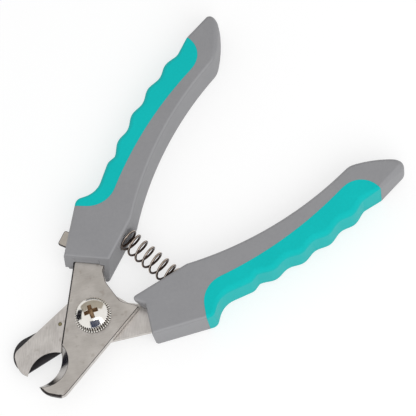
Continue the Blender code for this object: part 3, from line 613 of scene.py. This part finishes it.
def handle(side, turned_over):
    piece = handle_body(side + "_handle_moulding", 0.0)
    recess = prism(grip_outline(0.0), -THROUGH, THROUGH)
    fitted(recess, handle_body("core", GRIP_T + GRIP_SEAM))
    wall_high = 2 * HANDLE_HALF if turned_over else BLADE_LOW  # the lower one's cheek is upright all the way
    tools = [recess, tang_room(), front_slope(), lip_panel(), front_step(wall_high), spring_seat()]
    if side == "upper":
        tools.append(lever_slot())
    for tool in tools:
        fitted(piece, tool)
    smoothed(piece, 35)
    settled(piece, side, side + "_handle", (handle_plastic,), None, turned_over)


handle("upper", False)
handle("lower", True)


# Grips: soft teal rubber, moulded over the handle's finger side and flush with it.
# It wraps the scalloped edge from face to face.

grip_rubber, shader, place = finish("grip_rubber", {"Specular IOR Level": 0.08, "Sheen Weight": 0.16,
                                                    "Sheen Roughness": 0.45})
cloud = place.noise(60.0, 3.0)
pebble = place.node("TexVoronoi", {}, {"Vector": place, "Scale": 1700.0})
speck = place.noise(1200.0, 2.0)
tone = 0.5 * (cloud - 0.5) + 0.5 * (speck - 0.5) + 0.5
facing = place.node("NewGeometry", {}, {}, "Normal")
upright = facing.node("VectorMath", {"operation": "DOT_PRODUCT"}, {0: facing, 1: (0.0, 0.0, 1.0)}, "Value")
# Painted shade: the rubber's upright sides are made darker than its faces.
painted_flank_shade = 1.0 - upright * upright
teal = tone.between((0.0015, 0.450, 0.440), (0.0050, 0.580, 0.570))
fed(shader, Base_Color=(0.28 * painted_flank_shade).over(teal, (0.006, 0.36, 0.35)),
    Roughness=0.72 + 0.16 * (speck - 0.5), Normal=(pebble + 0.5 * speck).bump(0.00003))


def grip(side, turned_over):
    piece = handle_body(side + "_grip_overlay", 0.0)
    fitted(piece, prism(grip_outline(-GRIP_SEAM), -THROUGH, THROUGH), "INTERSECT")
    fitted(piece, handle_body("core", GRIP_T))
    smoothed(piece, 35)
    settled(piece, side, side + "_grip", (grip_rubber,), None, turned_over)


grip("upper", False)
grip("lower", True)


# Pivot: a truss-head screw with a knurled rim and a cross recess, polished and chromed,
# on a thin washer, held behind by a second washer and a hexagon nut.

HEAD_LOW = 0.00365
RIM_HIGH = 0.00545
HEAD_R = 0.0065
HEAD_TOP = 0.00755
KNURLS = 44
KNURL_DEPTH = 0.0004
SHANK_R = 0.0025
SHANK_LOW = -0.0070
CROSS_TOP = (0.0031, 0.00090)  # length and half width of one arm at the surface
CROSS_FOOT = (0.0017, 0.00045)
CROSS_TURN = math.radians(-28)
CROSS_FLOOR = 0.0051
SCREW_BREAK = 0.0003  # broken edges of the shank and the rim
CONE_LOW = 0.00445  # the rim's teeth draw in above this height
CONE_HIGH = 0.00535
DOME_STEPS = 16
WASHER_BORE_R = 0.0028

chrome, shader, place = finish("screw_chrome", {"Metallic": 1.0})
haze = place.noise(300.0, 4.0)
swirl = place.noise(1400.0, 2.0)
fed(shader, Base_Color=haze.between((0.70, 0.67, 0.62), (0.88, 0.86, 0.82)),
    Roughness=0.05 + 0.10 * haze + 0.05 * swirl, Normal=swirl.bump(0.000002))

recess_brown, shader, place = finish("recess_grime", {})
soil = place.noise(900.0, 4.0)
fed(shader, Base_Color=soil.between((0.13, 0.065, 0.03), (0.60, 0.42, 0.25)), Roughness=0.35 + 0.3 * soil,
    Metallic=0.9 - 0.5 * soil, Normal=soil.bump(0.00003))

plated, shader, place = finish("zinc_plated", {"Metallic": 1.0})
haze = place.noise(400.0, 4.0)
turning = place.noise(900.0, 2.0, (1.0, 1.0, 6.0))
fed(shader, Base_Color=haze.between((0.40, 0.39, 0.37), (0.62, 0.60, 0.57)),
    Roughness=0.22 + 0.2 * haze, Normal=turning.bump(0.000004))


def knurled(radius, depth):
    """A rim of rounded teeth."""
    steps = 8 * KNURLS
    points = []
    for i in range(steps):
        tooth = (1 - math.cos(2 * math.pi * i / 8)) / 2
        angle = 2 * math.pi * i / steps
        reach = radius - depth * tooth
        points.append((reach * math.cos(angle), reach * math.sin(angle)))
    return points


def cross(arm, half):
    """The outline of a cross recess, turned as the screw was left."""
    quarter = [(arm, -half), (arm, half), (half, half)]
    points = []
    for k in range(4):
        cos, sin = math.cos(CROSS_TURN + k * math.pi / 2), math.sin(CROSS_TURN + k * math.pi / 2)
        points += [(x * cos - y * sin, x * sin + y * cos) for x, y in quarter]
    return points


root_r = HEAD_R - KNURL_DEPTH
dome_r = root_r - SCREW_BREAK
ball_r = (dome_r ** 2 + (HEAD_TOP - RIM_HIGH) ** 2) / (2 * (HEAD_TOP - RIM_HIGH))
edge = math.asin(dome_r / ball_r)
steps = 8 * KNURLS
levels = [(circle(SHANK_R - SCREW_BREAK, steps=steps), SHANK_LOW),
          (circle(SHANK_R, steps=steps), SHANK_LOW + SCREW_BREAK),
          (circle(SHANK_R, steps=steps), HEAD_LOW),
          (knurled(root_r, 0.0), HEAD_LOW),
          (knurled(HEAD_R, KNURL_DEPTH), HEAD_LOW + SCREW_BREAK),
          (knurled(HEAD_R, KNURL_DEPTH), CONE_LOW),
          (knurled(dome_r + SCREW_BREAK, SCREW_BREAK), CONE_HIGH),
          (circle(dome_r, steps=steps), RIM_HIGH)]
for i in range(1, DOME_STEPS):
    angle = edge * (1 - i / DOME_STEPS)
    levels.append((circle(ball_r * math.sin(angle), steps=steps), HEAD_TOP - ball_r * (1 - math.cos(angle))))
screw = pulled_up("pivot_screw_head", [raised(points, z) for points, z in levels])
fitted(screw, pulled_up("tool", [raised(cross(*CROSS_FOOT), CROSS_FLOOR), raised(cross(*CROSS_TOP), 0.0080)]))
smoothed(screw, 40)


def rim_face(face, up):
    """Painted shade in the grooves between the teeth of a rim."""
    x, y, z = face.center
    return 2 if math.hypot(x, y) > dome_r and math.cos(math.atan2(y, x) * KNURLS) < 0.2 else 0


def screw_face(face, up):
    """Chrome all over, grime on the walls and the floor of the cross, and painted shade in the rim's grooves.
    """
    x, y, z = face.center
    reach = math.hypot(x, y)
    if reach > dome_r and MIDDLE + HEAD_LOW < z < MIDDLE + RIM_HIGH:
        return rim_face(face, up)
    dome = MIDDLE + HEAD_TOP - ball_r + math.sqrt(max(ball_r ** 2 - reach ** 2, 0.0))
    return 1 if reach < CROSS_TOP[0] + 0.0004 and MIDDLE + CROSS_FLOOR - 0.0001 < z < dome - 0.0001 else 0


settled(screw, "upper", "pivot_screw", (chrome, recess_brown, painted_shade), screw_face)


def disc(name, node, outline, bore, low, high, chamfer):
    """A flat ring or nut with broken edges."""
    levels = [(grown(outline, -chamfer), low), (outline, low + chamfer), (outline, high - chamfer),
              (grown(outline, -chamfer), high)]
    piece = pulled_up(name, [raised(points, z) for points, z in levels])
    fitted(piece, prism(circle(bore), -THROUGH, THROUGH))
    smoothed(piece)
    return settled(piece, "upper", node, (plated,))


TEETH_R = 0.0069  # the washer under the head has the rim's pattern round its own edge
TEETH_DEPTH = 0.0004
levels = [(knurled(TEETH_R, TEETH_DEPTH), 0.00295), (knurled(TEETH_R, TEETH_DEPTH), 0.00310),
          (knurled(root_r, 0.0), 0.00335)]
washer = pulled_up("head_washer_ring", [raised(points, z) for points, z in levels])
fitted(washer, prism(circle(WASHER_BORE_R), -THROUGH, THROUGH))
smoothed(washer)
# Its grooves get painted shade, as the rim's do.
settled(washer, "upper", "head_washer", (chrome, recess_brown, painted_shade), rim_face)
disc("nut_washer_ring", "nut_washer", circle(0.0046, steps=72), WASHER_BORE_R, -0.00445, -0.00405, 0.0001)
hexagon = rounded([(x, y, 0.0003) for x, y in circle(0.004 / math.cos(math.pi / 6), steps=6)])
disc("pivot_nut_hexagon", "pivot_nut", hexagon, 0.0026, -0.0070, -0.00475, 0.0003)


# Guard: a blackened sheet plate on the pivot, behind the rear blade.
# It swings across the mouth, and a pin riveted in the rear blade stops it in a slot.

GUARD_HIGH = -0.00295
GUARD_LOW = -0.00375
GUARD_BOSS_R = 0.0065
GUARD_END_R = 0.0073
GUARD_ANGLE = math.radians(161.2)
GUARD_REACH = 0.0252 / -math.cos(GUARD_ANGLE)
GUARD_EDGE = 0.0051
PIN_REACH = 0.0130
PIN_ANGLE = math.radians(141.5)
PIN_SWING = math.radians(26)
PIN_R = 0.0007
PIN_ROOM = 0.0010
PIN_HEAD_R = 0.0016
GUARD_BREAK = 0.0001

guard_black, shader, place = finish("guard_black", {"Coat Weight": 0.15, "Coat Roughness": 0.2})
cloud = place.noise(120.0, 4.0)
rub = place.noise(700.0, 3.0, (1.0, 8.0, 1.0), 0.4)
wear_and_highlight = rub.above(0.68, 0.06)
fed(shader, Base_Color=(0.5 * wear_and_highlight).over(cloud.between((0.010, 0.009, 0.011), (0.030, 0.027, 0.030)),
                                         (0.10, 0.085, 0.075)),
    Roughness=0.34 + 0.2 * cloud, Metallic=0.35 + 0.4 * wear_and_highlight, Normal=(cloud + 0.4 * rub).bump(0.00002))

pin_steel, shader, place = finish("pin_steel", {"Metallic": 1.0})
haze = place.noise(1500.0, 3.0)
fed(shader, Base_Color=haze.between((0.14, 0.12, 0.06), (0.34, 0.30, 0.18)), Roughness=0.3 + 0.25 * haze,
    Normal=haze.bump(0.00002))


def turned(length, angle):
    return (length * math.cos(angle), length * math.sin(angle))


def guard_outline():
    middle = turned(GUARD_REACH, GUARD_ANGLE)
    outer = GUARD_ANGLE - math.pi / 2 - math.asin((GUARD_END_R - GUARD_BOSS_R) / GUARD_REACH)
    inner = GUARD_ANGLE + math.pi / 2 + math.radians(4)
    boss = arc((0.0, 0.0), GUARD_BOSS_R, inner + math.radians(55) - 2 * math.pi, outer, 36)
    return boss + arc(middle, GUARD_END_R, outer, inner - math.acos(GUARD_EDGE / GUARD_END_R), 48)


def guard_slot():
    last = PIN_ANGLE + PIN_SWING
    outer = arc((0.0, 0.0), PIN_REACH + PIN_ROOM, PIN_ANGLE, last, 16)
    far = arc(turned(PIN_REACH, last), PIN_ROOM, last, last + math.pi, 12)[1:-1]
    inner = arc((0.0, 0.0), PIN_REACH - PIN_ROOM, last, PIN_ANGLE, 16)
    near = arc(turned(PIN_REACH, PIN_ANGLE), PIN_ROOM, PIN_ANGLE + math.pi, PIN_ANGLE + 2 * math.pi, 12)[1:-1]
    return outer + far + inner + near


outline = guard_outline()
levels = [(grown(outline, -GUARD_BREAK), GUARD_LOW), (outline, GUARD_LOW + GUARD_BREAK),
          (outline, GUARD_HIGH - GUARD_BREAK), (grown(outline, -GUARD_BREAK), GUARD_HIGH)]
guard = pulled_up("guard_sheet", [raised(points, z) for points, z in levels])
fitted(guard, prism(circle(PIVOT_HOLE_R), -THROUGH, THROUGH))
fitted(guard, prism(guard_slot(), -THROUGH, THROUGH))
smoothed(guard, 30)
settled(guard, "guard", "guard_plate", (guard_black,))

pin_at = turned(PIN_REACH, PIN_ANGLE)
levels = [(PIN_HEAD_R - 0.0006, -0.00475), (PIN_HEAD_R - 0.0002, -0.00465), (PIN_HEAD_R, -0.0044),
          (PIN_HEAD_R, -0.00405), (PIN_R, -0.00405), (PIN_R, -0.00025), (PIN_R - 0.0001, -BLADE_LOW)]
pin = pulled_up("guard_pin_rivet", [raised(circle(radius, pin_at, 24), z) for radius, z in levels])
smoothed(pin, 40)
settled(pin, "lower", "guard_pin", (pin_steel,))


# Lock: a stamped lever on a pin under the upper tang. Its tab stands out of the handle's
# side for the thumb, and its hook swings behind the rear blade to hold the tool shut.

LEVER_LOW = -0.00175
LEVER_HIGH = -0.00025
LEVER_BOSS_R = 0.0032
TAB = (0.0162, 0.0060, math.radians(107))
HOOK = (0.0103, 0.0034, math.radians(165))
ARM_CORNER_R = 0.0008
LEVER_BORE_R = 0.00155
LEVER_BURR = 0.0003

lever_steel, shader, place = finish("lever_steel", {"Metallic": 1.0})
streak = place.noise(500.0, 3.0, (1.0, 9.0, 1.0), -0.3)
cloud = place.noise(180.0, 4.0)
fed(shader, Base_Color=(0.5 * streak + 0.5 * cloud).between((0.33, 0.30, 0.265), (0.60, 0.56, 0.51)),
    Roughness=0.28 + 0.2 * cloud, Normal=streak.bump(0.000006))


def arm_edge(arm, side):
    """Root on the boss and tip of one edge of a lever's arm, to the right for -1, to the left for 1."""
    reach, width, angle = arm
    tip, off = turned(reach, angle), turned(side * width / 2, angle + math.pi / 2)
    root = turned(LEVER_BOSS_R, angle + side * math.asin(width / 2 / LEVER_BOSS_R))
    return root, (tip[0] + off[0], tip[1] + off[1], ARM_CORNER_R)


def lever_outline():
    (ax, ay), (bx, by, _) = arm_edge(TAB, 1)
    (cx, cy), (dx, dy, _) = arm_edge(HOOK, -1)
    crossing = (bx - ax) * (dy - cy) - (by - ay) * (dx - cx)
    share = ((cx - ax) * (dy - cy) - (cy - ay) * (dx - cx)) / crossing
    crotch = (ax + share * (bx - ax), ay + share * (by - ay), ARM_CORNER_R)
    last = HOOK[2] + math.asin(HOOK[1] / 2 / LEVER_BOSS_R)
    first = TAB[2] - math.asin(TAB[1] / 2 / LEVER_BOSS_R) + 2 * math.pi
    arms = [arm_edge(TAB, -1)[1], arm_edge(TAB, 1)[1], crotch, arm_edge(HOOK, -1)[1], arm_edge(HOOK, 1)[1]]
    points = rounded(arms + arc((0.0, 0.0), LEVER_BOSS_R, last, first, 24))
    return [(x + LOCK_AT[0], y + LOCK_AT[1]) for x, y in points]


outline = lever_outline()
levels = [(grown(outline, -LEVER_BURR), LEVER_LOW), (outline, LEVER_LOW + LEVER_BURR),
          (outline, LEVER_HIGH - LEVER_BURR), (grown(outline, -LEVER_BURR), LEVER_HIGH)]
lever = pulled_up("lock_lever_stamping", [raised(points, z) for points, z in levels])
fitted(lever, prism(circle(LEVER_BORE_R, LOCK_AT, 32), -THROUGH, THROUGH))
smoothed(lever, 30)
# The lever's edges all round get painted shade, as its walls in shadow.
settled(lever, "lever", "lock_lever", (lever_steel, painted_shade),
        lambda face, up: 0 if abs(face.normal.z) > 0.9 else 1)

for node in ("lock_rivet", "lock_washer"):
    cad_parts[node].data.materials.clear()
    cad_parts[node].data.materials.append(plated)


# Return spring: nickelled spring wire wound in one piece, closed at both ends,
# which sits in a round seat in each handle and pushes them apart.

WIRE_R = 0.00045
COIL_R = 0.00395
CLOSED = 1.25
CLOSED_PITCH = 0.0014
ACTIVE = 6
SPRING_REACH = SPRING_FLOOR - FIT - WIRE_R

spring_nickel, shader, place = finish("spring_nickel", {"Metallic": 1.0})
haze = place.noise(350.0, 3.0)
draw = place.noise(1800.0, 2.0)
centred = place.node("VectorMath", {"operation": "SUBTRACT"}, {0: place, 1: (SPRING_AT, 0.0, MIDDLE)})
across = centred.node("VectorMath", {"operation": "MULTIPLY"}, {0: centred, 1: (1.0, 0.0, 1.0)})
outside = across.node("VectorMath", {"operation": "LENGTH"}, {0: across}, "Value")
# Painted highlight and shade: the wire is light on the coils' outer side and dark on their inner side.
wear_and_highlight = outside.above(COIL_R + 0.80 * WIRE_R, 0.16 * WIRE_R)
dark = haze.between((0.018, 0.008, 0.006), (0.075, 0.045, 0.032))
fed(shader, Base_Color=wear_and_highlight.over(dark, (0.55, 0.47, 0.41)),
    Roughness=0.18 + 0.18 * haze, Normal=draw.bump(0.000004))

bpy.ops.object.select_all(action="DESELECT")
bpy.ops.curve.primitive_nurbs_path_add()
spring = bpy.context.object
spring.name = spring.data.name = "return_spring_wire"
wire = spring.data
wire.splines.clear()
run = wire.splines.new("POLY")
coils = ACTIVE + 2 * CLOSED
count = round(coils * 30)
run.points.add(count)
open_pitch = 2 * (SPRING_REACH - CLOSED * CLOSED_PITCH) / ACTIVE
for i, point in enumerate(run.points):
    coil = coils * i / count
    low, high = min(coil, CLOSED), max(coil - CLOSED - ACTIVE, 0.0)
    climb = (low + high) * CLOSED_PITCH + (coil - low - high) * open_pitch
    angle = 2 * math.pi * coil + math.pi
    across, up = COIL_R * math.sin(angle), COIL_R * math.cos(angle)
    point.co = (SPRING_AT + across, climb - SPRING_REACH, MIDDLE + up, 1.0)
wire.bevel_depth = WIRE_R
wire.bevel_resolution = 3
wire.use_fill_caps = True
bpy.ops.object.convert(target="MESH")
spring = bpy.context.object
outwards(spring)
smoothed(spring, 60)
spring.data.materials.clear()
spring.data.materials.append(spring_nickel)
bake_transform(spring)
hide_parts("spring")


# Studio: a white sweep and white surroundings, with one soft lamp on the camera's side.
# Cards that only polished metal sees stand in for the room that it mirrors.

world = bpy.data.worlds.new("studio")
bpy.context.scene.world = world
world.use_nodes = True
world.node_tree.nodes["Background"].inputs["Color"].default_value = (1.0, 1.0, 1.0, 1.0)
seen = Socket(world.node_tree.nodes.new("ShaderNodeLightPath").outputs["Is Camera Ray"])
mirrored = Socket(seen.output.node.outputs["Is Glossy Ray"])
through = Socket(seen.output.node.outputs["Is Transmission Ray"])
level = 0.66 + 0.34 * (seen + mirrored + through)
world.node_tree.links.new(level.output, world.node_tree.nodes["Background"].inputs["Strength"])

bpy.ops.object.select_all(action="DESELECT")
bpy.ops.mesh.primitive_plane_add(size=6.0, location=(0.0, 0.0, -0.0001))
floor = bpy.context.object
floor.name = "floor"
bpy.ops.object.transform_apply(location=True, rotation=True, scale=True)
sweep, shader, place = finish("white_sweep", {"Roughness": 0.9, "Specular IOR Level": 0.0})
shader.inputs["Base Color"].default_value = (0.92, 0.92, 0.92, 1.0)
path = sweep.node_tree.nodes.new("ShaderNodeLightPath")
looked_at = (Socket(path.outputs["Is Camera Ray"]) + Socket(path.outputs["Is Glossy Ray"])
             + Socket(path.outputs["Is Transmission Ray"]))
paint = {"Roughness": 0.9, "Specular IOR Level": 0.0, "Base Color": (0.4, 0.4, 0.4, 1.0),
         "Emission Color": (1.0, 1.0, 1.0, 1.0), "Emission Strength": 0.64}
lit = place.node("BsdfPrincipled", {}, paint)
shown = place.node("MixShader", {}, {0: looked_at, 1: Socket(shader.outputs[0]), 2: lit})
sweep.node_tree.links.new(shown.output, sweep.node_tree.nodes["Material Output"].inputs["Surface"])
floor.data.materials.append(sweep)
floor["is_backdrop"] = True

lamp = bpy.data.lights.new("soft_lamp", "AREA")
lamp.shape = "DISK"
lamp.size = 0.9
lamp.energy = 4.6
soft_lamp = bpy.data.objects.new("soft_lamp", lamp)
bpy.context.scene.collection.objects.link(soft_lamp)
soft_lamp.location = (-0.14, -0.68, 0.72)
soft_lamp.rotation_euler = soft_lamp.location.to_track_quat("Z", "Y").to_euler()

for name, tint, azimuth, height, distance, size in (
        ("card_room", (0.52, 0.48, 0.41), 52, 34, 0.60, (1.10, 0.55)),
        ("card_left", (0.02, 0.02, 0.024), 122, 22, 0.30, (0.20, 0.15)),
        ("card_low", (0.008, 0.009, 0.020), 129, 8, 0.105, (0.036, 0.030)),
        ("card_above", (0.03, 0.045, 0.11), 238, 46, 0.50, (0.42, 0.34))):
    card_paint, shader, _ = finish(name, {"Roughness": 0.9, "Specular IOR Level": 0.0})
    shader.inputs["Base Color"].default_value = (*tint, 1.0)
    around, up = math.radians(azimuth), math.radians(height)
    out = Vector((math.cos(up) * math.cos(around), math.cos(up) * math.sin(around), math.sin(up)))
    bpy.ops.object.select_all(action="DESELECT")
    facing = out.to_track_quat("Z", "Y").to_euler()
    bpy.ops.mesh.primitive_plane_add(size=1.0, location=distance * out, rotation=facing)
    card = bpy.context.object
    card.name = name
    card.scale = (*size, 1.0)
    bpy.ops.object.transform_apply(location=True, rotation=True, scale=True)
    card.data.materials.append(card_paint)
    card.visible_camera = card.visible_diffuse = card.visible_shadow = False
    card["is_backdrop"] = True


# Camera: a long lens above the jaws' side, with the tool filling the frame
# from the tip of one handle to the other.

lens = bpy.data.cameras.new("camera")
lens.lens = 155.77
lens.sensor_width = 36.0
camera = bpy.data.objects.new("camera", lens)
bpy.context.scene.collection.objects.link(camera)
turn = Matrix(((0.6724, -0.7305, -0.1191), (0.7136, 0.5970, 0.3666), (-0.1967, -0.3315, 0.9227)))
camera.matrix_world = Matrix.Translation((-0.0738, -0.2273, 0.6314)) @ turn.transposed().to_4x4()
bpy.context.scene.camera = camera
bpy.context.scene.view_settings.view_transform = "Standard"

low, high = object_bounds()
